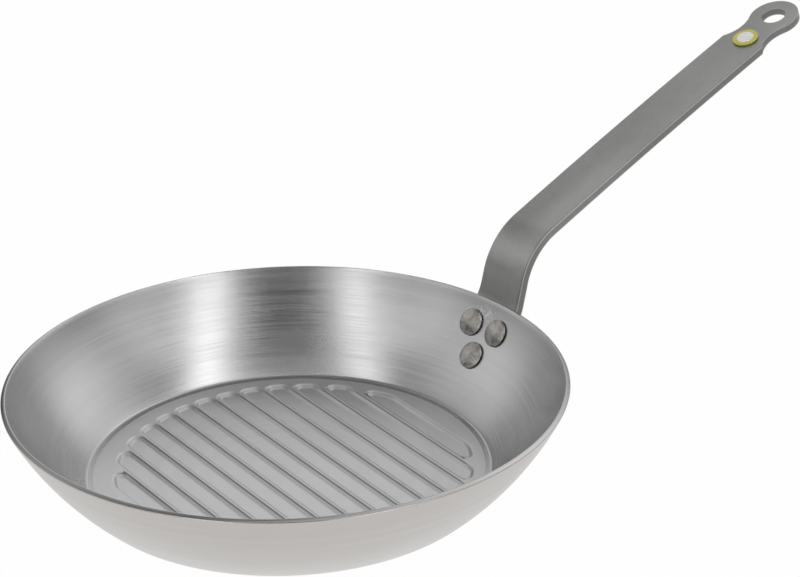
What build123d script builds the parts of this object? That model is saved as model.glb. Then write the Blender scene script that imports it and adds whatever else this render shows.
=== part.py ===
"""Ribbed grill pan: one pressed sheet for the pan, a flat bent strip for the handle, three rivets, a round badge.

Millimetres. Z is up and the pan stands on Z = 0. The origin is on the pan's axis, under its centre.
The handle runs out along +X.
"""

import os
from math import asin, atan2, cos, degrees, hypot, radians, sin, sqrt, tan

from build123d import *

os.makedirs("parts", exist_ok=True)

# Pan sheet
sheet = 2.5                  # thickness of the steel, the same all over
rim_radius = 130.0           # outer edge of the rim
base_radius = 95.0           # where the wall and the flat ring would meet, outside
wall_rise = 46.3             # outer edge of the rim above the underside of the ring
base_bend = 5.0              # outside bend from the ring into the wall
rim_break = 0.5              # broken edges of the rim

# Pressed channels of the base
channel_pitch = 12.0         # as many channels as fit the field at this pitch, one of them in the middle
channel_depth = 1.5          # how far the channels are pushed down, and the pads under them stand out
channel_slope = 37.0         # steepness of the channel sides, in degrees
channel_corner = 4.0         # rounding of the channel ends, at the ring
crest_width = 0.8            # top of the rib left between two channels
field_radius = 84.0          # circle that the channel ends follow
field_shift = 2.7            # the channels are pressed this far towards the handle
field_turn = -5.2            # and this many degrees off square to it

# Handle strip
strip_thick = 4.0
strip_width = 26.2
root_width = 27.4            # where it stands up from the rim, narrowing along the neck
set_radius = 16.0            # small bend at the rim, where the strip stands up
set_angle = 78.0             # steepness above the rim, in degrees
riser_length = 7.5           # straight stretch above that bend
neck_radius = 35.5           # main bend, on the upper face
grip_angle = 23.2            # steepness where the grip starts
grip_length = 179.2          # from the main bend to the centre of the eye
grip_arch = 4000.0           # slight droop of the grip, on the upper face
foot_flare = 50.0            # hollow curve from the strip into the wider foot
eye_radius = 12.8
hang_hole_radius = 6.25
waist_width = 19.0           # narrowest place, before the eye
waist_gap = 13.8             # from the waist to the centre of the eye

# Rivets
shank_radius = 3.0
rivet_head_radius = 6.7
rivet_head_edge = 1.0        # upright edge of the head
rivet_head_dome = 1.2        # rise of the dome above that edge
upper_rivet_drop = 14.0      # along the wall, down from the rim
lower_rivet_drop = 29.1
rivet_spacing = 18.0         # between the two upper rivets
rivet_land = 1.8             # strip left round each rivet head

# Badge
badge_radius = 6.6
badge_thick = 1.0
badge_gap = 21.7             # from its centre to the centre of the eye
inlay_radius = 4.5
inlay_depth = 0.4
inlay_proud = 0.1
stub_radius = 2.0
stub_length = 2.4

# Fits
slip = 0.05                  # shank, stub and inlay in their holes
seat_gap = 0.05              # strip to wall, head to sheet, badge to strip
overrun = 1.0                # how far a cut runs past what it cuts

# Levels, and the wall as a zone of a sphere about a point on the axis, worked out from the sizes above
ring_under = channel_depth
ring_top = ring_under + sheet
rim_edge = ring_under + wall_rise
wall_height = (rim_radius**2 - base_radius**2 + rim_edge**2 - ring_under**2) / (2 * wall_rise)
wall_radius = hypot(rim_radius, wall_height - rim_edge)
rim_bearing = atan2(rim_edge - wall_height, rim_radius)
skin_shift = sheet * tan(radians(channel_slope / 2))


def on_wall(drop, lift):
    """Point in section beside the wall: drop along it from the rim, lift outside its outer face."""
    bearing = rim_bearing - drop / wall_radius
    reach = wall_radius + lift
    return reach * cos(bearing), wall_height + reach * sin(bearing)


def rivet_seat(drop, across):
    """Plane on the outer face of the wall, square to it, with its x axis level."""
    bearing = rim_bearing - drop / wall_radius
    reach, height = on_wall(drop, 0)
    swing = asin(across / reach)
    outward = Vector(cos(bearing) * cos(swing), cos(bearing) * sin(swing), sin(bearing))
    return Plane(
        origin=(reach * cos(swing), across, height),
        x_dir=(-sin(swing), cos(swing), 0),
        z_dir=outward,
    )


upper_left_seat = rivet_seat(upper_rivet_drop, rivet_spacing / 2)
upper_right_seat = rivet_seat(upper_rivet_drop, -rivet_spacing / 2)
lower_seat = rivet_seat(lower_rivet_drop, 0)
rivet_seats = {
    "rivet_upper_left": upper_left_seat,
    "rivet_upper_right": upper_right_seat,
    "rivet_lower": lower_seat,
}

# Pan body, pressed and spun from one sheet
field_plane = Plane.XY.rotated((0, 0, field_turn))
field_centre = field_plane.from_local_coords(Vector(field_shift, 0, 0))
channel_width = channel_pitch - crest_width
side_run = channel_depth / tan(radians(channel_slope))
beside = int((field_radius - channel_corner - channel_width / 2) / channel_pitch)
channel_places = [number * channel_pitch for number in range(-beside, beside + 1)]


def channel_form(across, grow, bottom, top):
    """Solid from one level up to another, in the outline of one channel grown all round, with sloped lower sides."""
    plane = Plane(origin=(field_centre.X, field_centre.Y, bottom), x_dir=field_plane.x_dir, z_dir=(0, 0, 1))
    with BuildPart() as form:
        with BuildSketch(plane) as outline:
            with Locations((across, 0)):
                Rectangle(channel_width + 2 * grow, 2 * field_radius)
            Circle(field_radius + grow, mode=Mode.INTERSECT)
            fillet(outline.vertices(), channel_corner + grow)
        extrude(amount=top - bottom)
        floor = form.faces().sort_by(Axis.Z)[0]
        chamfer(floor.edges(), length=side_run, length2=channel_depth, reference=floor)
    return form.part


pads = [channel_form(across, skin_shift, 0, ring_under + sheet / 2) for across in channel_places]
channels = [channel_form(across, 0, ring_top - channel_depth, ring_top + overrun) for across in channel_places]


with BuildPart() as pan_body:
    with BuildSketch(Plane.XZ) as half_section:
        with BuildLine() as outside:
            Line((0, ring_under), (base_radius, ring_under))
            RadiusArc((base_radius, ring_under), (rim_radius, rim_edge), -wall_radius)
            fillet(outside.vertices().sort_by(Axis.X)[1], base_bend)
            offset(amount=sheet, side=Side.LEFT, closed=True)
        make_face()
        chamfer(half_section.vertices().sort_by(Axis.Y)[-2:], rim_break)
    revolve(axis=Axis.Z)
    add(pads)
    add(channels, mode=Mode.SUBTRACT)
    for seat in rivet_seats.values():
        with BuildSketch(seat.offset(-sheet - overrun)):
            Circle(shank_radius + slip)
        extrude(amount=sheet + 2 * overrun, mode=Mode.SUBTRACT)
pan_body.part.label = "pan_body"
export_step(pan_body.part, "parts/pan_body.step")

# Handle, one flat strip bent up from the wall, with a wide foot and an eye at the far end
foot_lobe = rivet_head_radius + rivet_land
foot_half = rivet_spacing / 2 + foot_lobe
strip_half = strip_width / 2
root_half = root_width / 2
swage = rim_radius - sqrt(rim_radius**2 - foot_half**2)
foot_end = lower_rivet_drop + foot_lobe + overrun
foot_inside = seat_gap
foot_outside = foot_inside + strip_thick
strip_lift = 2 * seat_gap
foot_turn = degrees(foot_end / wall_radius)
rim_lean = degrees(atan2(rim_radius, wall_height - rim_edge))

with BuildSketch(Plane.XZ) as strip_side:
    with BuildLine():
        foot_line = JernArc(
            on_wall(foot_end, strip_lift),
            (cos(radians(rim_lean - foot_turn)), sin(radians(rim_lean - foot_turn))),
            wall_radius + strip_lift,
            foot_turn,
        )
        set_line = JernArc(foot_line @ 1, foot_line % 1, set_radius, set_angle - rim_lean)
        riser_line = Line(set_line @ 1, set_line @ 1 + (set_line % 1) * riser_length)
        neck_line = JernArc(riser_line @ 1, riser_line % 1, neck_radius, grip_angle - set_angle)
        grip_line = JernArc(neck_line @ 1, neck_line % 1, grip_arch, -degrees(grip_length / grip_arch))
        Line(grip_line @ 1, grip_line @ 1 + (grip_line % 1) * (eye_radius + overrun))
        offset(amount=strip_thick, side=Side.RIGHT, closed=True)
    make_face()


def across_strip(line, share):
    """Plane on the strip's upper face: x along the strip, y across it, z out of the face."""
    point = line @ share
    along = line % share
    return Plane(origin=(point.X, 0, point.Y), x_dir=(along.X, 0, along.Y), z_dir=(-along.Y, 0, along.X))


def shell_section(drop, end, lift, thick):
    """Section between two drops beside the wall, from lift outwards by thick, for a shell round the pan."""
    with BuildSketch(Plane.XZ) as section:
        with BuildLine():
            inner = ThreePointArc(on_wall(drop, lift), on_wall((drop + end) / 2, lift), on_wall(end, lift))
            outer = ThreePointArc(
                on_wall(drop, lift + thick), on_wall((drop + end) / 2, lift + thick), on_wall(end, lift + thick)
            )
            Line(inner @ 0, outer @ 0)
            Line(inner @ 1, outer @ 1)
        make_face()
    return section.sketch


join_plane = across_strip(riser_line, 1)
join_cut = Plane(origin=join_plane.origin, z_dir=join_plane.x_dir)
foot_plane = rivet_seat((upper_rivet_drop + lower_rivet_drop) / 2, 0)
swage_rise = set_line.length + riser_length

with BuildPart() as foot:
    extrude(strip_side.sketch, amount=foot_half, both=True)
    extrude(shell_section(foot_end, 0, strip_lift - swage, swage), amount=foot_half, both=True)
    past_foot = foot_end + overrun
    revolve(shell_section(past_foot, -rim_break, foot_inside - sheet, sheet), axis=Axis.Z, mode=Mode.SUBTRACT)
    revolve(shell_section(past_foot, -swage_rise, foot_outside, sheet), axis=Axis.Z, mode=Mode.SUBTRACT)
    with BuildSketch(foot_plane) as foot_outline:
        for seat in rivet_seats.values():
            middle = foot_plane.to_local_coords(seat.origin)
            with Locations((middle.X, middle.Y)):
                Circle(foot_lobe)
        make_hull()
        with Locations((0, foot_end)):
            Rectangle(root_width, 2 * foot_end)
        corners = foot_outline.vertices().filter_by(lambda v: abs(abs(v.Y) - root_half) < slip)
        fillet(corners.sort_by(Axis.Z)[:2], foot_flare)
    extrude(amount=foot_end, both=True, mode=Mode.INTERSECT)
    split(bisect_by=join_cut, keep=Keep.BOTTOM)

eye_plane = across_strip(grip_line, 1)
badge_plane = across_strip(grip_line, 1 - badge_gap / grip_length)
waist_half = waist_width / 2
hollow_radius = (waist_gap**2 + waist_half**2 - eye_radius**2) / (2 * (eye_radius - waist_half))
hollow_share = eye_radius / (eye_radius + hollow_radius)
hollow_touch = (-waist_gap * hollow_share, (waist_half + hollow_radius) * hollow_share)
shoulder = -waist_gap - sqrt(hollow_radius**2 - (hollow_radius + waist_half - strip_half) ** 2)
root_reach = eye_plane.to_local_coords(join_plane.origin).X
neck_reach = neck_line.length + grip_length + eye_radius

with BuildPart() as handle:
    extrude(strip_side.sketch, amount=strip_width, both=True)
    with BuildSketch(eye_plane):
        with BuildLine():
            Polyline(
                (-neck_reach, 0),
                (-neck_reach, root_half),
                (root_reach, root_half),
                (-grip_length, strip_half),
                (shoulder, strip_half),
            )
            ThreePointArc((shoulder, strip_half), (-waist_gap, waist_half), hollow_touch)
            ThreePointArc(hollow_touch, (0, eye_radius), (eye_radius, 0))
            mirror(about=Plane.XZ)
        make_face()
    extrude(amount=neck_reach, both=True, mode=Mode.INTERSECT)
    split(bisect_by=join_cut, keep=Keep.TOP)
    add(foot.part)
    with BuildSketch(eye_plane):
        Circle(hang_hole_radius)
    extrude(amount=strip_thick + overrun, both=True, mode=Mode.SUBTRACT)
    with BuildSketch(badge_plane):
        Circle(stub_radius + slip)
    extrude(amount=-stub_length - seat_gap, mode=Mode.SUBTRACT)
    for seat in rivet_seats.values():
        with BuildSketch(seat.offset(-swage)):
            Circle(shank_radius + slip)
        extrude(amount=strip_thick + swage + overrun, mode=Mode.SUBTRACT)
handle.part.label = "handle"
export_step(handle.part, "parts/handle.step")

# Rivets, each set through the wall and the foot, with a low domed head at either end
dome_radius = (rivet_head_radius**2 + rivet_head_dome**2) / (2 * rivet_head_dome)
wall_hollow = wall_radius - sqrt(wall_radius**2 - rivet_head_radius**2)
inner_seat = -sheet - wall_hollow - seat_gap
outer_seat = foot_outside + seat_gap
inner_peak = inner_seat - rivet_head_edge - rivet_head_dome
outer_peak = outer_seat + rivet_head_edge + rivet_head_dome

for name, seat in rivet_seats.items():
    with BuildPart() as rivet:
        with BuildSketch(Plane(origin=seat.origin, x_dir=seat.x_dir, z_dir=-seat.y_dir)):
            with BuildLine():
                Polyline(
                    (0, inner_peak - overrun),
                    (rivet_head_radius, inner_peak - overrun),
                    (rivet_head_radius, inner_seat),
                    (shank_radius, inner_seat),
                    (shank_radius, outer_seat),
                    (rivet_head_radius, outer_seat),
                    (rivet_head_radius, outer_peak + overrun),
                    (0, outer_peak + overrun),
                    close=True,
                )
            make_face()
        revolve(axis=Axis(seat.origin, seat.z_dir))
        for dome_centre in (inner_peak + dome_radius, outer_peak - dome_radius):
            with Locations(Plane(origin=seat.offset(dome_centre).origin, x_dir=seat.y_dir, z_dir=seat.x_dir)):
                Sphere(dome_radius, mode=Mode.INTERSECT)
    rivet.part.label = name
    export_step(rivet.part, f"parts/{name}.step")

# Badge, a shallow disc pressed into the strip by its stub, with a flat inlay in its recess
cap_plane = badge_plane.offset(seat_gap)
with BuildPart() as badge_cap:
    with BuildSketch(cap_plane):
        Circle(badge_radius)
    extrude(amount=badge_thick)
    with BuildSketch(cap_plane.offset(badge_thick - inlay_depth)):
        Circle(inlay_radius)
    extrude(amount=inlay_depth + overrun, mode=Mode.SUBTRACT)
    with BuildSketch(cap_plane):
        Circle(stub_radius)
    extrude(amount=-stub_length)
badge_cap.part.label = "badge_cap"
export_step(badge_cap.part, "parts/badge_cap.step")

with BuildPart() as badge_inlay:
    with BuildSketch(cap_plane.offset(badge_thick - inlay_depth)):
        Circle(inlay_radius - slip)
    extrude(amount=inlay_depth + inlay_proud)
badge_inlay.part.label = "badge_inlay"
export_step(badge_inlay.part, "parts/badge_inlay.step")
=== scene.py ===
from math import asin, atan2, cos, hypot, pi, radians, sin, sqrt, tan

import bmesh
import bpy
from mathutils import Matrix, Vector, noise


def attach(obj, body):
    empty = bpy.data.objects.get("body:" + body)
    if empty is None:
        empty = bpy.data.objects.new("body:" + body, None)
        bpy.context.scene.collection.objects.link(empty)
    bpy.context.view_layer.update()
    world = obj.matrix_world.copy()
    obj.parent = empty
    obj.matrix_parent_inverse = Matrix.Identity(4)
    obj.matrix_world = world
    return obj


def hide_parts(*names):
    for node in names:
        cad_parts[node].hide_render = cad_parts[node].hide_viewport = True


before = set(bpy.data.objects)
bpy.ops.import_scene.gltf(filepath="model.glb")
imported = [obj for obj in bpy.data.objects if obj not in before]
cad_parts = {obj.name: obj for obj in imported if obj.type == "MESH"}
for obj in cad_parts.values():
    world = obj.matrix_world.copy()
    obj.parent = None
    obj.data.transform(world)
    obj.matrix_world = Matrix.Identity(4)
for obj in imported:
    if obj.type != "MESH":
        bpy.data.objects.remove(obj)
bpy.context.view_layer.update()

# Pan body: one round sheet of carbon steel, formed into a dish with a flared wall, its flat base pressed
# into a row of parallel channels. It is left bare and brushed round and round, with the rim's edges broken.
# Its sizes are in millimetres, as on every piece here, and a finished piece is scaled to metres.
to_metres = 0.001
weld_gap = 0.001
sheet = 2.5
rim_radius = 130.0
base_radius = 95.0
wall_rise = 46.3
base_bend = 5.0
rim_break = 0.5
channel_pitch = 12.0
channel_depth = 1.5
channel_slope = radians(37.0)
channel_corner = 4.0
crest_width = 0.8
crest_round = 0.9
floor_round = 1.1
channels_beside = 6
field_radius = 84.0
field_shift = 2.7
field_turn = radians(-5.2)
field_margin = 1.5
end_zone = 5.0
ring_join = 91.0

turn_steps = 256
wall_steps = 28
bend_steps = 8
break_steps = 4
round_steps = 6
floor_steps = 7
margin_steps = 4
end_steps = 15
middle_steps = 12

wall_dull = (0.475, 0.475, 0.475, 1)
wall_clean = (0.575, 0.575, 0.58, 1)
# The base's colours are the wall's made a third brighter, which paints light onto the base.
lit_base_dull = (0.627, 0.627, 0.627, 1)
lit_base_clean = (0.759, 0.759, 0.7656, 1)
outer_dull = (0.49, 0.47, 0.45, 1)
outer_clean = (0.56, 0.54, 0.525, 1)
# Painted shade: the colour laid on the channels' sides and round their ends.
painted_channel_shade = (0.2, 0.2, 0.195, 1)
scuff_white = (0.78, 0.78, 0.78, 1)
# Where and how strongly the painted shade lies on the channels' sides and near their ends.
crest_shade_shares = (0.04, 0.16, 0.25, 0.5)
crest_shade_strength = 0.8
crest_shade_fade = (2.0, 9.0)
crest_shade_side = (0.0, 1.0)
end_shade_shares = (0.1, 0.35, 0.7, 1.0)
end_shade_strength = 0.4
end_shade_fade = (3.0, 7.0)
last_side_share = 0.45
fine_strokes = (14.0, 1800.0, 3.0)
broad_strokes = (6.0, 260.0, 2.0)
base_stroke_share = 0.7
stroke_relief = (0.12, 0.00003)
cloud_grain = 22.0
outer_skin = 1.0
inner_skin = 1.6
scuff_place = (0.1225, 0.001, 0.0425)
scuff_spread = (0.8, 0.35, 1.4)
scuff_reach = (0.001, 0.0075)
scuff_strength = 0.7
scuff_grain = (420.0, 5.0)
scuff_patches = (0.5, 0.62)

ring_under = channel_depth
ring_top = ring_under + sheet
rim_edge = ring_under + wall_rise
wall_height = (rim_radius**2 - base_radius**2 + rim_edge**2 - ring_under**2) / (2 * wall_rise)
wall_radius = hypot(rim_radius, wall_height - rim_edge)
rim_bearing = atan2(rim_edge - wall_height, rim_radius)
side_run = channel_depth / tan(channel_slope)
skin_shift = sheet * tan(channel_slope / 2)


def straight(mesh, vertex, place):
    """Carries a vertex straight to a place in the section and returns the vertex there."""
    made = bmesh.ops.extrude_vert_indiv(mesh, verts=[vertex])["verts"][0]
    made.co = (place[0], 0, place[1])
    return made


def swept(mesh, vertex, centre, turn, steps):
    """Carries a vertex round a centre in the section, leaving an arc, and returns the vertex at its end."""
    spun = bmesh.ops.spin(
        mesh,
        geom=[vertex],
        cent=(centre[0], 0, centre[1]),
        axis=(0, -1, 0),
        angle=turn,
        steps=steps,
        use_duplicate=False,
    )
    return [part for part in spun["geom_last"] if isinstance(part, bmesh.types.BMVert)][0]


def turned_on_axis(mesh, steps):
    """Spins the whole section round the Z axis, closes its seam and poles, and points its faces outwards."""
    section = mesh.verts[:] + mesh.edges[:]
    bmesh.ops.spin(
        mesh, geom=section, cent=(0, 0, 0), axis=(0, 0, 1), angle=2 * pi, steps=steps, use_merge=True
    )
    bmesh.ops.remove_doubles(mesh, verts=mesh.verts[:], dist=weld_gap)
    bmesh.ops.recalc_face_normals(mesh, faces=mesh.faces[:])


def steps_between(first, last, count):
    """Evenly spaced places from first to last, both among them."""
    return [first + (last - first) * step / count for step in range(count + 1)]


def bend_depth(run, radius):
    """How far a level face has dropped, a run past the line where it bends down into a channel's side."""
    lead = radius * tan(channel_slope / 2)
    if run <= -lead:
        return 0
    if run < radius * sin(channel_slope) - lead:
        return radius - sqrt(radius**2 - (run + lead) ** 2)
    return run * tan(channel_slope)


def pressed_depth(u, v, grow):
    """How far the base is pushed down at a place in the field, by the nearest channel grown all round."""
    middle = channel_pitch * max(-channels_beside, min(channels_beside, round(u / channel_pitch)))
    core = (channel_pitch - crest_width) / 2 - channel_corner
    core_field = field_radius - channel_corner
    out = hypot(u, v)
    beside = max(middle - core, min(middle + core, u))
    inward = max(middle - core, min(middle + core, u * core_field / max(out, core_field)))
    if beside == u and out <= core_field:
        gap = max(abs(u - middle) - core, out - core_field)
    elif hypot(beside, v) <= core_field:
        gap = abs(u - beside)
    else:
        gap = hypot(u - inward, abs(v) - sqrt(core_field**2 - inward**2))
    run = channel_corner + grow - gap
    if run < side_run / 2:
        return bend_depth(run, crest_round)
    return channel_depth - bend_depth(side_run - run, floor_round)


def columns_across(grow):
    """Places across the field, close together where a channel's side bends into its crest or floor."""
    edge = crest_width / 2 - grow
    crest_lead = crest_round * tan(channel_slope / 2)
    floor_lead = floor_round * tan(channel_slope / 2)
    floor_start = side_run - floor_round * sin(channel_slope) + floor_lead
    crest_end = edge + crest_round * sin(channel_slope) - crest_lead
    floor_end = edge + side_run + floor_lead
    half = steps_between(edge - crest_lead, crest_end, round_steps)
    half += steps_between(edge + floor_start, floor_end, round_steps)
    half += steps_between(floor_end, channel_pitch / 2, floor_steps)[1:]
    half = [0] + [place for place in half if place > 0]
    last = channel_pitch * (channels_beside + 1 / 2)
    margin_share = 0.8
    columns = set(steps_between(last, last + field_margin * margin_share, margin_steps))
    for number in range(channels_beside + 1):
        columns.update(channel_pitch * (number + 1 / 2) - place for place in half)
        columns.update(channel_pitch * (number - 1 / 2) + place for place in half)
    columns = sorted({round(place, 4) for place in columns if place >= 0})
    return [-place for place in reversed(columns) if place > 0] + columns


def pressed_face(mesh, level, grow, ring):
    """Adds one face of the pressed base, at its level, and joins it to the ring's loop of edges."""
    columns = columns_across(grow)
    # A row is a share of the way from the field's middle line to a place near its edge.
    ends = steps_between(-end_zone, field_margin, end_steps)
    rows = [(-1, place) for place in reversed(ends)]
    rows += [(share, ends[0]) for share in steps_between(-1, 1, middle_steps)[1:-1]]
    rows += [(1, place) for place in ends]
    last_column = len(columns) - 1
    last_row = len(rows) - 1
    pressed = mesh.verts.layers.float_vector["pressed"]
    grid = bmesh.ops.create_grid(mesh, x_segments=last_column, y_segments=last_row, size=1)["verts"]
    for vertex in grid:
        u = columns[round((vertex.co.x + 1) / 2 * last_column)]
        share, place = rows[round((vertex.co.y + 1) / 2 * last_row)]
        reach = sqrt(field_radius**2 - u**2)
        v = share * (reach + place * field_radius / reach)
        depth = pressed_depth(u, v, grow)
        to_side = channel_pitch * (channels_beside + last_side_share) - abs(u)
        vertex.co = (u, v, level - depth)
        vertex[pressed] = (depth / channel_depth, reach - abs(v), to_side)
    field = Matrix.Rotation(field_turn, 4, "Z") @ Matrix.Translation((field_shift, 0, 0))
    bmesh.ops.transform(mesh, matrix=field, verts=grid)
    inside = set(grid)
    border = [e for e in mesh.edges if e.is_boundary and e.verts[0] in inside]
    bmesh.ops.triangle_fill(mesh, edges=border + ring, use_beauty=True)


def settled(mesh, name, finishes, node):
    """Makes the finished mesh an object in metres that rides on the part and stands for its node."""
    bmesh.ops.scale(mesh, vec=(to_metres, to_metres, to_metres), verts=mesh.verts[:])
    for face in mesh.faces:
        face.smooth = True
    data = bpy.data.meshes.new(name)
    mesh.to_mesh(data)
    mesh.free()
    for finish in finishes:
        data.materials.append(finish)
    piece = bpy.data.objects.new(name, data)
    bpy.context.scene.collection.objects.link(piece)
    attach(piece, "root")
    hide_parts(node)
    return piece


class Wire:
    """A socket of a node tree. Sums on it add Math nodes, and node() adds any other node."""

    def __init__(self, tree, socket=None):
        self.tree = tree
        self.socket = socket

    def node(self, kind, settings, sockets, output=0):
        """Adds a node with its settings and its sockets' values or links, and returns one output."""
        made = self.tree.nodes.new(kind)
        for name, value in settings.items():
            setattr(made, name, value)
        for name, value in sockets.items():
            if isinstance(value, Wire):
                self.tree.links.new(value.socket, made.inputs[name])
            else:
                made.inputs[name].default_value = value
        return Wire(self.tree, made.outputs[output])

    def sum(self, operation, first, second):
        """Adds a Math node that works on two numbers."""
        return self.node("ShaderNodeMath", {"operation": operation}, {0: first, 1: second})

    def __add__(self, other):
        return self.sum("ADD", self, other)

    def __sub__(self, other):
        return self.sum("SUBTRACT", self, other)

    def __rsub__(self, other):
        return self.sum("SUBTRACT", other, self)

    def __mul__(self, other):
        return self.sum("MULTIPLY", self, other)

    __radd__ = __add__
    __rmul__ = __mul__

    def place(self):
        """Place on the piece, in metres."""
        return self.node("ShaderNodeTexCoord", {}, {}, "Object")

    def stored(self, name, output="Vector"):
        """What the mesh's vertices store under a name."""
        return self.node("ShaderNodeAttribute", {"attribute_name": name}, {}, output)

    def vector(self, operation, other=(0, 0, 0), output="Vector"):
        """Adds a Vector Math node that works on this vector and another one."""
        return self.node("ShaderNodeVectorMath", {"operation": operation}, {0: self, 1: other}, output)

    def parts(self):
        """The three numbers of this vector."""
        return [self.node("ShaderNodeSeparateXYZ", {}, {0: self}, part) for part in range(3)]

    def ramp(self, low, high, first=0.0, last=1.0):
        """Rises smoothly from first to last as this value goes from low to high."""
        sockets = {"Value": self, "From Min": low, "From Max": high, "To Min": first, "To Max": last}
        return self.node("ShaderNodeMapRange", {"interpolation_type": "SMOOTHSTEP"}, sockets)

    def band(self, foot, top, shoulder, end):
        """Rises from 0 to 1 between foot and top, and falls to 0 again between shoulder and end."""
        return self.ramp(foot, top) * self.ramp(shoulder, end, 1.0, 0.0)

    def blend(self, first, second):
        """Colour between two others, this value being the share of the second."""
        return self.node("ShaderNodeMix", {"data_type": "RGBA"}, {0: self, 6: first, 7: second}, 2)

    def grain(self, scale, detail=2.0):
        """Noise at this place, from about 0.3 to 0.7."""
        return self.node("ShaderNodeTexNoise", {}, {"Vector": self, "Scale": scale, "Detail": detail})

    def swing(self, share):
        """How far this noise is from its middle, times a share."""
        return (self - 0.5) * share

    def relief(self, strength, height):
        """Normal of a surface that this value raises, up to a height in metres."""
        return self.node("ShaderNodeBump", {}, {"Strength": strength, "Distance": height, "Height": self})


def new_finish(name, metallic, anisotropy=0.0):
    """A new material, with its shader's constant sockets set, and a wire into its node tree."""
    finish = bpy.data.materials.new(name)
    finish.use_nodes = True
    shader = finish.node_tree.nodes["Principled BSDF"]
    shader.inputs["Metallic"].default_value = metallic
    shader.inputs["Anisotropic"].default_value = anisotropy
    return finish, shader, Wire(finish.node_tree)


def feed(node, **wires):
    """Links wires to a node's sockets, whose names have a space for each underscore."""
    for name, wire in wires.items():
        wire.tree.links.new(wire.socket, node.inputs[name.replace("_", " ")])


def brushed(name, anisotropy, roughness, dull, clean):
    """Bare steel with fine strokes that run round the Z axis, a warmer outer face, and painted shade along
    the channels' sides and ends.
    """
    finish, shader, wire = new_finish(name, metallic=1.0, anisotropy=anisotropy)
    place = wire.place()
    x, y, z = place.parts()
    out = place.vector("MULTIPLY", (1, 1, 0)).vector("LENGTH", output="Value")
    level = out * base_stroke_share + z

    def strokes(along, across, detail):
        spread = wire.node("ShaderNodeCombineXYZ", {}, {0: x * along, 1: y * along, 2: level * across})
        return spread.grain(1.0, detail)

    stroke = strokes(*fine_strokes)
    cloud = place.grain(cloud_grain)
    tone = stroke.swing(0.6) + strokes(*broad_strokes).swing(0.6) + cloud.swing(0.8) + 0.5
    reach = place.vector("DISTANCE", (0, 0, wall_height * to_metres), "Value")
    outer = reach.ramp((wall_radius - inner_skin) * to_metres, (wall_radius - outer_skin) * to_metres)
    sheet_tone = outer.blend(tone.blend(dull, clean), tone.blend(outer_dull, outer_clean))

    push, to_end, to_side = wire.stored("pressed").parts()
    # Painted shade on the upper part of each channel's side, faded near its ends and on the outermost sides,
    # and painted shade round the channels' ends.
    crest_shade = push.band(*crest_shade_shares) * crest_shade_strength
    crest_shade = crest_shade * to_end.ramp(*crest_shade_fade) * to_side.ramp(*crest_shade_side)
    end_shade = push.band(*end_shade_shares) * end_shade_strength * to_end.ramp(*end_shade_fade, 1.0, 0.0)
    shaded = (crest_shade + end_shade).blend(sheet_tone, painted_channel_shade)

    from_root = place.vector("SUBTRACT", scuff_place).vector("MULTIPLY", scuff_spread)
    near_root = from_root.vector("LENGTH", output="Value").ramp(*scuff_reach, scuff_strength, 0.0)
    scuff = place.grain(*scuff_grain).ramp(*scuff_patches) * near_root
    feed(
        shader,
        Base_Color=scuff.blend(shaded, scuff_white),
        Roughness=stroke.swing(0.16) + cloud.swing(0.1) + scuff * 0.25 + roughness,
        Normal=stroke.relief(*stroke_relief),
    )
    return finish


bend_height = ring_under + base_bend
bend_reach = sqrt((wall_radius - base_bend) ** 2 - (wall_height - bend_height) ** 2)
bend_turn = atan2(bend_reach, wall_height - bend_height)
break_turn = rim_break / wall_radius
wall_turn = pi / 2 + rim_bearing - bend_turn - break_turn
last_bearing = rim_bearing - break_turn
rim_way = Vector((cos(last_bearing), sin(last_bearing)))
rim_face = Vector((-sin(last_bearing), cos(last_bearing)))
bend_centre = Vector((bend_reach, bend_height))
wall_centre = Vector((0, wall_height))
outer_break = wall_centre + rim_way * (wall_radius - rim_break)
inner_break = wall_centre + rim_way * (wall_radius - sheet + rim_break)

pan = bmesh.new()
pan.verts.layers.float_vector.new("pressed")
point = pan.verts.new((ring_join, 0, ring_under))
point = straight(pan, point, (bend_reach, ring_under))
point = swept(pan, point, bend_centre, bend_turn, bend_steps)
point = swept(pan, point, wall_centre, wall_turn, wall_steps)
point = swept(pan, point, outer_break, pi / 2, break_steps)
point = straight(pan, point, inner_break + rim_face * rim_break)
point = swept(pan, point, inner_break, pi / 2, break_steps)
point = swept(pan, point, wall_centre, -wall_turn, wall_steps)
point = swept(pan, point, bend_centre, -bend_turn, bend_steps)
straight(pan, point, (ring_join, ring_top))
turned_on_axis(pan, turn_steps)
open_edges = [e for e in pan.edges if e.is_boundary]
top_ring = [e for e in open_edges if e.verts[0].co.z > ring_under + sheet / 2]
under_ring = [e for e in open_edges if e.verts[0].co.z < ring_under + sheet / 2]
pressed_face(pan, ring_top, 0, top_ring)
pressed_face(pan, ring_under, skin_shift, under_ring)
bmesh.ops.recalc_face_normals(pan, faces=pan.faces[:])

# The whole base has the coarser finish, painted lighter than the wall, apart from the ribs' faces
# underneath, on which the pan stands.
for face in pan.faces:
    middle = face.calc_center_median()
    if hypot(middle.x, middle.y) < ring_join and middle.z > 0:
        face.material_index = 1
wall_steel = brushed(
    "brushed_wall_steel", anisotropy=0.9, roughness=0.22, dull=wall_dull, clean=wall_clean
)
lit_base_steel = brushed(
    "brushed_lit_base_steel", anisotropy=0.0, roughness=0.48, dull=lit_base_dull, clean=lit_base_clean
)
settled(pan, "brushed_pan", (wall_steel, lit_base_steel), "pan_body")

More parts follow.
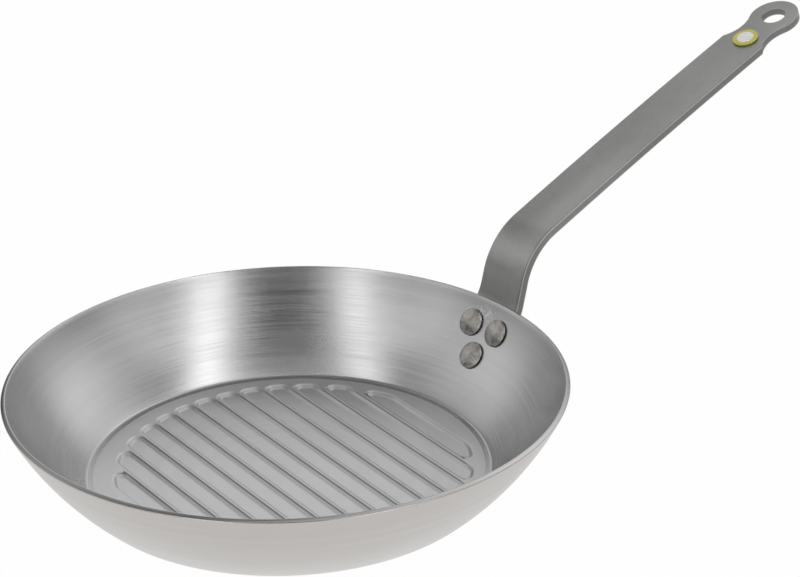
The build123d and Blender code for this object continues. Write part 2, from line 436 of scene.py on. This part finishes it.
# Handle: a flat strip of 4 mm steel with a wide foot and an eye, bent up from the wall and out over the
# side. Its foot is swaged to the round of the wall and riveted there, and its edges are tumbled soft.
# It is left a mottled grey, with painted shade on its cut sides, a painted dark line along one edge, and a
# painted highlight along that edge round the neck.
strip_thick = 4.0
strip_width = 26.2
root_width = 27.4
strip_edge = 0.45
set_radius = 16.0
set_angle = radians(78.0)
riser_length = 7.5
neck_radius = 35.5
grip_angle = radians(23.2)
grip_length = 179.2
grip_arch = 4000.0
foot_flare = 50.0
foot_lift = 0.1
eye_radius = 12.8
hang_hole_radius = 6.25
waist_width = 19.0
waist_gap = 13.8
rivet_head_radius = 6.7
rivet_land = 1.8
upper_rivet_drop = 14.0
lower_rivet_drop = 29.1
rivet_spacing = 18.0

lobe_steps = 10
flare_steps = 8
hollow_steps = 12
eye_steps = 24
edge_steps = 3
foot_cuts = 12
foot_cut_length = 36.0
set_cuts = 4
neck_cuts = 24
grip_cuts = 12
side_cuts = 5
side_cut_reach = 15.0
sharp_corner = radians(80.0)

grey_dull = (0.355, 0.355, 0.345, 1)
grey_clean = (0.53, 0.53, 0.525, 1)
# Painted shade: the cut sides are given a darker grey than the faces.
shaded_side_dull = (0.155, 0.155, 0.15, 1)
shaded_side_clean = (0.24, 0.24, 0.23, 1)
# Painted shade: a dark line drawn just inside one edge of the faces.
edge_shade_black = (0.1, 0.1, 0.095, 1)
shaded_side_depths = (0.2, 0.6, 3.4, 3.8)
edge_shade_line = (0.5, 0.75, 0.85, 1.2)
edge_shade_strength = 0.55
edge_shade_on_grip = 0.25
edge_shade_fade = 12.0
# Painted highlight: a bright band along one edge, strongest round the neck.
sheen_width = 20.0
sheen_strength = 0.9
sheen_on_grip = 0.3
sheen_start = (20.0, 50.0)
sheen_fade = (70.0, 130.0)
speckle_grain = (900.0, 4.0)
mottle_grain = (160.0, 3.0)
grey_cloud_grain = 25.0
speckle_relief = (0.18, 0.00004)

rim_lean = rim_bearing + pi / 2
set_length = set_radius * (set_angle - rim_lean)
neck_length = neck_radius * (set_angle - grip_angle)
arched_length = grip_length + eye_radius
stretches = (
    (set_length, set_angle - rim_lean),
    (riser_length, 0),
    (neck_length, grip_angle - set_angle),
    (arched_length, -arched_length / grip_arch),
)
riser_end = set_length + riser_length
neck_end = riser_end + neck_length
eye_run = neck_end + grip_length
root_half = root_width / 2
strip_half = strip_width / 2
waist_half = waist_width / 2


def strip_at(run):
    """Place in section and lean of the strip's upper face, at a distance along it from the rim."""
    bearing = rim_bearing + min(run, 0) / wall_radius
    across = (wall_radius + foot_lift) * cos(bearing)
    height = wall_height + (wall_radius + foot_lift) * sin(bearing)
    lean = bearing + pi / 2
    left = max(run, 0)
    for length, turn in stretches:
        stretch = min(left, length)
        half_swing = turn * stretch / length / 2
        chord = stretch * (sin(half_swing) / half_swing if half_swing else 1)
        across += chord * cos(lean + half_swing)
        height += chord * sin(lean + half_swing)
        lean += 2 * half_swing
        left -= stretch
    return across, height, lean


def bent(flat_place):
    """Place on the bent strip of a place on the flat one: its run, its side and its depth below the face."""
    run, side, depth = flat_place
    across, height, lean = strip_at(run)
    across += depth * sin(lean)
    height -= depth * cos(lean)
    swage = max(0, min(1, 1 - run / riser_end))
    swage = swage * swage * (3 - 2 * swage)
    across -= swage * (across - sqrt(across**2 - side**2))
    return across, side, height


def mottled_grey(name):
    """Dull grey steel, with painted shade on the cut sides, and a painted dark line and a painted highlight
    band along one edge.
    """
    finish, shader, wire = new_finish(name, metallic=1.0)
    place = wire.place()
    speckle = place.grain(*speckle_grain)
    mottle = place.grain(*mottle_grain)
    cloud = place.grain(grey_cloud_grain)
    run, side, depth = wire.stored("flat_place").parts()
    to_edge = side + run.ramp(riser_end, neck_end, root_half, strip_half)
    # Painted shade: a dark line just inside one edge, fainter along the grip.
    edge_shade = to_edge.band(*edge_shade_line) * edge_shade_strength
    edge_shade = edge_shade * run.ramp(neck_end, neck_end + edge_shade_fade, 1.0, edge_shade_on_grip)
    # Painted highlight: a bright band along one edge, fading along the grip.
    painted_sheen = to_edge.ramp(0.0, sheen_width, sheen_strength, 0.0)
    painted_sheen = painted_sheen * run.ramp(*sheen_start) * run.ramp(*sheen_fade, 1.0, sheen_on_grip)
    tone = speckle.swing(0.5) + mottle.swing(0.6) + cloud.swing(0.7) + painted_sheen + 0.3
    face_tone = tone.blend(grey_dull, grey_clean)
    # Painted shade on the cut sides.
    strip_tone = depth.band(*shaded_side_depths).blend(face_tone, tone.blend(shaded_side_dull, shaded_side_clean))
    feed(
        shader,
        Base_Color=edge_shade.blend(strip_tone, edge_shade_black),
        Roughness=mottle.swing(0.25) + 0.4,
        Normal=speckle.relief(*speckle_relief),
    )
    return finish


foot_lobe = rivet_head_radius + rivet_land
upper_lobe = Vector((-upper_rivet_drop, rivet_spacing / 2))
lower_lobe = Vector((-lower_rivet_drop, 0))
between = upper_lobe - lower_lobe
hull_bearing = atan2(between.y, between.x) + pi / 2
hull_side = Vector((cos(hull_bearing), sin(hull_bearing)))
flare_rise = root_half + foot_flare - upper_lobe.y
flare_reach = sqrt((foot_lobe + foot_flare) ** 2 - flare_rise**2)
flare_centre = Vector((upper_lobe.x + flare_reach, root_half + foot_flare))
flare_bearing = atan2(flare_rise, flare_centre.x - upper_lobe.x)
hollow_radius = (waist_gap**2 + waist_half**2 - eye_radius**2) / (2 * (eye_radius - waist_half))
hollow_centre = Vector((eye_run - waist_gap, waist_half + hollow_radius))
shoulder_dip = asin((hollow_centre.y - strip_half) / hollow_radius)
shoulder = hollow_centre.x - hollow_radius * cos(shoulder_dip)
hollow_bearing = atan2(hollow_centre.y, eye_run - hollow_centre.x)

# Half of the flat strip's outline is drawn upright, as a section is, then laid flat and mirrored.
strip = bmesh.new()
tip = strip.verts.new((lower_lobe.x - foot_lobe, 0, 0))
point = swept(strip, tip, lower_lobe, hull_bearing - pi, lobe_steps)
point = straight(strip, point, upper_lobe + hull_side * foot_lobe)
point = swept(strip, point, upper_lobe, flare_bearing - hull_bearing, lobe_steps)
point = swept(strip, point, flare_centre, pi / 2 - flare_bearing, flare_steps)
point = straight(strip, point, (riser_end, root_half))
point = straight(strip, point, (neck_end, strip_half))
point = straight(strip, point, (shoulder, strip_half))
point = swept(strip, point, hollow_centre, pi - hollow_bearing - shoulder_dip, hollow_steps)
point = swept(strip, point, (eye_run, 0), hollow_bearing - pi, eye_steps)
point = straight(strip, point, (eye_run + hang_hole_radius, 0))
point = swept(strip, point, (eye_run, 0), pi, eye_steps)
strip.edges.new((point, tip))
for vertex in strip.verts:
    vertex.co = (vertex.co.x, vertex.co.z, 0)
bmesh.ops.contextual_create(strip, geom=strip.edges[:])

runs = steps_between(-foot_cut_length, 0.0, foot_cuts)
runs += steps_between(0.0, set_length, set_cuts)[1:]
runs += steps_between(riser_end, neck_end, neck_cuts)
runs += steps_between(neck_end, shoulder, grip_cuts)[1:]
cuts = [(run, Vector((1, 0, 0))) for run in runs]
cuts += [(side, Vector((0, 1, 0))) for side in steps_between(0.0, side_cut_reach, side_cuts)[1:]]
for place, way in cuts:
    flat = strip.verts[:] + strip.edges[:] + strip.faces[:]
    bmesh.ops.bisect_plane(strip, geom=flat, plane_co=way * place, plane_no=way, dist=weld_gap)
half_strip = strip.verts[:] + strip.edges[:] + strip.faces[:]
bmesh.ops.mirror(strip, geom=half_strip, merge_dist=weld_gap, axis="Y")
lower_face = bmesh.ops.extrude_face_region(strip, geom=strip.faces[:])["geom"]
lower_verts = [part for part in lower_face if isinstance(part, bmesh.types.BMVert)]
bmesh.ops.translate(strip, vec=(0, 0, strip_thick), verts=lower_verts)
bmesh.ops.recalc_face_normals(strip, faces=strip.faces[:])
corners = [e for e in strip.edges if len(e.link_faces) == 2 and e.calc_face_angle() > sharp_corner]
corners = [e for e in corners if abs(e.verts[0].co.z - e.verts[1].co.z) < weld_gap]
bmesh.ops.bevel(
    strip,
    geom=corners,
    offset=strip_edge,
    segments=edge_steps,
    profile=0.5,
    affect="EDGES",
    material=-1,
    clamp_overlap=True,
)
flat_place = strip.verts.layers.float_vector.new("flat_place")
for vertex in strip.verts:
    vertex[flat_place] = vertex.co
    vertex.co = bent(vertex.co)

# The flat strip was laid face down, so bending it over turned it inside out.
bmesh.ops.reverse_faces(strip, faces=strip.faces[:])
handle = settled(strip, "bent_handle", (mottled_grey("handle_steel"),), "handle")
handle.modifiers.new("even_faces", "WEIGHTED_NORMAL")

# Rivets: three steel rivets that hold the foot to the wall, each closed with a low domed head on either
# side. The heads were hammered shut, so their faces are a little uneven, pitted and darker than the sheet,
# with black painted round each head's edge as the shadow in its seam.
shank_radius = 3.0
rivet_head_edge = 1.0
rivet_head_dome = 1.2
head_shoulder = 0.5
hammer_marks = 0.07
hammer_mark_width = 2.2
seam_width = 0.01
seat_gap = 0.05
seat_clear = 0.1
shoulder_steps = 5
dome_steps = 12
rivet_turn_steps = 64
rivet_dark = (0.25, 0.235, 0.215, 1)
rivet_bright = (0.56, 0.54, 0.51, 1)
# Painted shadow: the black round each head's edge.
seam_shadow_black = (0.04, 0.037, 0.033, 1)
pit_grain = (700.0, 3.0)
stain_grain = (260.0, 3.0)
pit_relief = (0.6, 0.0001)

dome_radius = (rivet_head_radius**2 + rivet_head_dome**2) / (2 * rivet_head_dome)
shoulder_reach = rivet_head_radius - head_shoulder
shoulder_turn = asin(shoulder_reach / (dome_radius - head_shoulder))
inner_seat = -sheet - (wall_radius - sqrt(wall_radius**2 - rivet_head_radius**2)) - seat_gap
outer_seat = strip_thick + 2 * seat_gap
rivet_places = {
    "rivet_upper_left": (upper_rivet_drop, rivet_spacing / 2),
    "rivet_upper_right": (upper_rivet_drop, -rivet_spacing / 2),
    "rivet_lower": (lower_rivet_drop, 0),
}


def hammered_steel(name):
    """Stained and pitted steel, with painted shadow, black, in the seam round each head."""
    finish, shader, wire = new_finish(name, metallic=1.0)
    place = wire.place()
    pits = place.grain(*pit_grain)
    stain = place.grain(*stain_grain)
    worn = stain.swing(1.8) + pits.swing(0.9) + 0.5
    # Black painted round each head's edge stands for the shadow in its seam.
    in_seam_shadow = wire.stored("seam", "Fac").ramp(0.0, 1.0)
    feed(
        shader,
        Base_Color=in_seam_shadow.blend(worn.blend(rivet_dark, rivet_bright), seam_shadow_black),
        Roughness=stain.swing(0.5) + 0.3,
        Normal=pits.relief(*pit_relief),
    )
    return finish


def rivet_head(mesh, start, seat, side):
    """Adds the section of one head, from the shank out over its face to the axis, side being 1 or -1."""
    peak = seat + side * (rivet_head_edge + rivet_head_dome)
    dome_centre = (0, peak - side * dome_radius)
    shoulder_level = dome_centre[1] + side * sqrt((dome_radius - head_shoulder) ** 2 - shoulder_reach**2)
    point = straight(mesh, start, (rivet_head_radius, seat))
    point = straight(mesh, point, (rivet_head_radius, shoulder_level))
    shoulder_centre = (shoulder_reach, shoulder_level)
    point = swept(mesh, point, shoulder_centre, side * (pi / 2 - shoulder_turn), shoulder_steps)
    swept(mesh, point, dome_centre, side * shoulder_turn, dome_steps)


rivet_steel = hammered_steel("rivet_steel")
for name, (drop, across) in rivet_places.items():
    rivet = bmesh.new()
    start = rivet.verts.new((shank_radius, 0, inner_seat))
    rivet_head(rivet, start, inner_seat, -1)
    end = straight(rivet, start, (shank_radius, outer_seat))
    rivet_head(rivet, end, outer_seat, 1)
    turned_on_axis(rivet, rivet_turn_steps)
    # Vertices round each head's edge are marked, for the painted seam shadow.
    seam = rivet.verts.layers.float.new("seam")
    for vertex in rivet.verts:
        reach = hypot(vertex.co.x, vertex.co.y)
        on_edge = reach > rivet_head_radius - seam_width
        vertex[seam] = on_edge
        between_seats = inner_seat - seat_clear < vertex.co.z < outer_seat + seat_clear
        if not on_edge and not between_seats:
            spot = Vector((vertex.co.x / hammer_mark_width, vertex.co.y / hammer_mark_width, drop + across))
            dip = hammer_marks * (1 + noise.noise(spot)) * (1 - (reach / rivet_head_radius) ** 4)
            vertex.co.z -= dip if vertex.co.z > 0 else -dip
    bearing = rim_bearing - drop / wall_radius
    swing = asin(across / (wall_radius * cos(bearing)))
    outward = Vector((cos(bearing) * cos(swing), cos(bearing) * sin(swing), sin(bearing)))
    level_way = Vector((-sin(swing), cos(swing), 0))
    seat_reach = wall_radius * cos(bearing) * cos(swing)
    seat = Vector((seat_reach, across, wall_height + wall_radius * sin(bearing)))
    turn = Matrix((level_way, outward.cross(level_way), outward)).transposed().to_4x4()
    bmesh.ops.transform(rivet, matrix=Matrix.Translation(seat) @ turn, verts=rivet.verts[:])
    settled(rivet, "steel_" + name, (rivet_steel,), name)

# Badge: a small round plastic cap pressed into the grip near the eye, yellow green with a plain white
# inlay. The cap is moulded with a soft outer edge and a recess, and the inlay is a disc set into it.
badge_radius = 6.6
badge_thick = 1.0
badge_gap = 21.7
badge_edge = 0.3
inlay_radius = 4.5
inlay_depth = 0.4
inlay_proud = 0.1
inlay_edge = 0.12
inlay_slip = 0.05
badge_edge_steps = 4
inlay_edge_steps = 3
badge_turn_steps = 72
yellow_deep = (0.56, 0.51, 0.085, 1)
yellow_light = (0.70, 0.65, 0.13, 1)
white_deep = (0.87, 0.87, 0.84, 1)
white_light = (0.93, 0.93, 0.90, 1)
plastic_relief = 0.00003


def moulded(name, deep, light, scale, swing, roughness, strength):
    """Smooth plastic with a faint flow of tone, and as faint an unevenness."""
    finish, shader, wire = new_finish(name, metallic=0.0)
    flow = wire.place().grain(scale)
    feed(
        shader,
        Base_Color=flow.blend(deep, light),
        Roughness=flow * swing + roughness,
        Normal=flow.relief(strength, plastic_relief),
    )
    return finish


across, height, lean = strip_at(eye_run - badge_gap)
badge_up = Vector((-sin(lean), 0, cos(lean)))
badge_along = Vector((cos(lean), 0, sin(lean)))
badge_turn = Matrix((badge_along, badge_up.cross(badge_along), badge_up)).transposed().to_4x4()
badge_place = Matrix.Translation(Vector((across, 0, height)) + badge_up * seat_gap) @ badge_turn

cap = bmesh.new()
point = cap.verts.new((0, 0, 0))
point = straight(cap, point, (badge_radius, 0))
point = straight(cap, point, (badge_radius, badge_thick - badge_edge))
point = swept(cap, point, (badge_radius - badge_edge, badge_thick - badge_edge), pi / 2, badge_edge_steps)
point = straight(cap, point, (inlay_radius + inlay_edge, badge_thick))
point = swept(cap, point, (inlay_radius + inlay_edge, badge_thick - inlay_edge), pi / 2, inlay_edge_steps)
point = straight(cap, point, (inlay_radius, badge_thick - inlay_depth))
straight(cap, point, (0, badge_thick - inlay_depth))
turned_on_axis(cap, badge_turn_steps)
bmesh.ops.transform(cap, matrix=badge_place, verts=cap.verts[:])
badge_yellow = moulded(
    "badge_yellow", yellow_deep, yellow_light, scale=300.0, swing=0.15, roughness=0.28, strength=0.2
)
cap_piece = settled(cap, "badge_ring", (badge_yellow,), "badge_cap")
cap_piece.modifiers.new("even_faces", "WEIGHTED_NORMAL")

inlay = bmesh.new()
inlay_base = badge_thick - inlay_depth
inlay_top = badge_thick + inlay_proud
disc_radius = inlay_radius - inlay_slip
point = inlay.verts.new((0, 0, inlay_base))
point = straight(inlay, point, (disc_radius, inlay_base))
point = straight(inlay, point, (disc_radius, inlay_top - inlay_edge))
point = swept(inlay, point, (disc_radius - inlay_edge, inlay_top - inlay_edge), pi / 2, inlay_edge_steps)
straight(inlay, point, (0, inlay_top))
turned_on_axis(inlay, badge_turn_steps)
bmesh.ops.transform(inlay, matrix=badge_place, verts=inlay.verts[:])
badge_white = moulded(
    "badge_white", white_deep, white_light, scale=400.0, swing=0.1, roughness=0.24, strength=0.15
)
inlay_piece = settled(inlay, "badge_disc", (badge_white,), "badge_inlay")
inlay_piece.modifiers.new("even_faces", "WEIGHTED_NORMAL")

# Camera: a long lens a little over a metre away, in front of the pan and to the left of its handle,
# looking down on it.
camera_place = Vector((-0.63334, -0.85124, 0.578059))
camera_heading = radians(-39.504)
camera_tilt = radians(65.44)
camera_roll = radians(-1.052)
camera_data = bpy.data.cameras.new("camera")
camera_data.sensor_fit = "HORIZONTAL"
camera_data.sensor_width = 36.0
camera_data.lens = 116.458
camera = bpy.data.objects.new("camera", camera_data)
camera.matrix_world = (
    Matrix.Translation(camera_place)
    @ Matrix.Rotation(camera_heading, 4, "Z")
    @ Matrix.Rotation(camera_tilt, 4, "X")
    @ Matrix.Rotation(camera_roll, 4, "Z")
)
bpy.context.scene.collection.objects.link(camera)
bpy.context.scene.camera = camera
bpy.context.scene.view_settings.view_transform = "Standard"

# Studio: soft round panels all about the pan, each given by its turn from the camera's side and its height,
# both in degrees, and its strength. Two long bright ones arch up over its front, left and right of the
# camera, with a dark gap between them. The background that the camera sees is white.
panels = (
    (60, 30, 0.58),
    (90, 30, 0.42),
    (90, 76, 0.3),
    (120, 10, 0.55),
    (120, 30, 0.42),
    (135, 30, 0.25),
    (135, 52, 0.8),
    (160, 25, 0.45),
    (185, 25, 0.75),
    (205, 48, 0.35),
    (0, 82, 0.35),
    (240, 10, 0.48),
    (240, 30, 0.42),
    (270, 30, 0.44),
    (300, 30, 0.58),
)
panel_core = radians(8)
panel_reach = radians(26)
dim_light = 0.05
arches = ((0.455, 0.13, 4.3), (-0.45, 0.12, 3.6))
arch_front = (0.0, 0.2)
camera_side = Vector((camera_place.x, camera_place.y, 0)).normalized()
across_view = Vector((-camera_side.y, camera_side.x, 0))
world = bpy.data.worlds.new("studio")
bpy.context.scene.world = world
world.use_nodes = True
wire = Wire(world.node_tree)
direction = wire.node("ShaderNodeTexCoord", {}, {}, "Generated")
glow = dim_light
for turn, lift, strength in panels:
    level_way = Matrix.Rotation(radians(turn), 3, "Z") @ camera_side
    way = level_way * cos(radians(lift)) + Vector((0, 0, sin(radians(lift))))
    toward = direction.vector("DOT_PRODUCT", way, "Value")
    glow = glow + toward.ramp(cos(panel_reach), cos(panel_core), 0.0, strength)
sideways = direction.vector("DOT_PRODUCT", across_view, "Value")
front = direction.vector("DOT_PRODUCT", camera_side, "Value").ramp(*arch_front)
for middle, half, strength in arches:
    glow = glow + sideways.band(middle - half, middle, middle, middle + half) * front * strength
seen = wire.node("ShaderNodeLightPath", {}, {}, "Is Camera Ray")
background = world.node_tree.nodes["Background"]
background.inputs["Color"].default_value = (1, 1, 1, 1)
feed(background, Strength=seen + (1 - seen) * glow)

# Floor: a wide sheet of pale paper, on which the pan stands and throws its shadow.
# It shows almost as white as the background does, to the camera and in the steel.
floor_half = 10.0
floor_white = (0.9, 0.9, 0.9, 1)
seen_share = 0.98
mirrored_share = 0.9
floor_roughness = 0.9
pale_floor, shader, wire = new_finish("pale_floor", metallic=0.0)
shader.inputs["Base Color"].default_value = floor_white
shader.inputs["Roughness"].default_value = floor_roughness
seen = wire.node("ShaderNodeLightPath", {}, {}, "Is Camera Ray")
mirrored = wire.node("ShaderNodeLightPath", {}, {}, "Is Glossy Ray")
white = wire.node("ShaderNodeEmission", {}, {"Color": (1, 1, 1, 1), "Strength": 1.0})
paper = Wire(pale_floor.node_tree, shader.outputs[0])
share = seen * seen_share + mirrored * mirrored_share
shown = wire.node("ShaderNodeMixShader", {}, {0: share, 1: paper, 2: white})
feed(pale_floor.node_tree.nodes["Material Output"], Surface=shown)
ground = bmesh.new()
bmesh.ops.create_grid(ground, x_segments=1, y_segments=1, size=floor_half)
floor_mesh = bpy.data.meshes.new("floor")
ground.to_mesh(floor_mesh)
ground.free()
floor_mesh.materials.append(pale_floor)
floor = bpy.data.objects.new("floor", floor_mesh)
bpy.context.scene.collection.objects.link(floor)
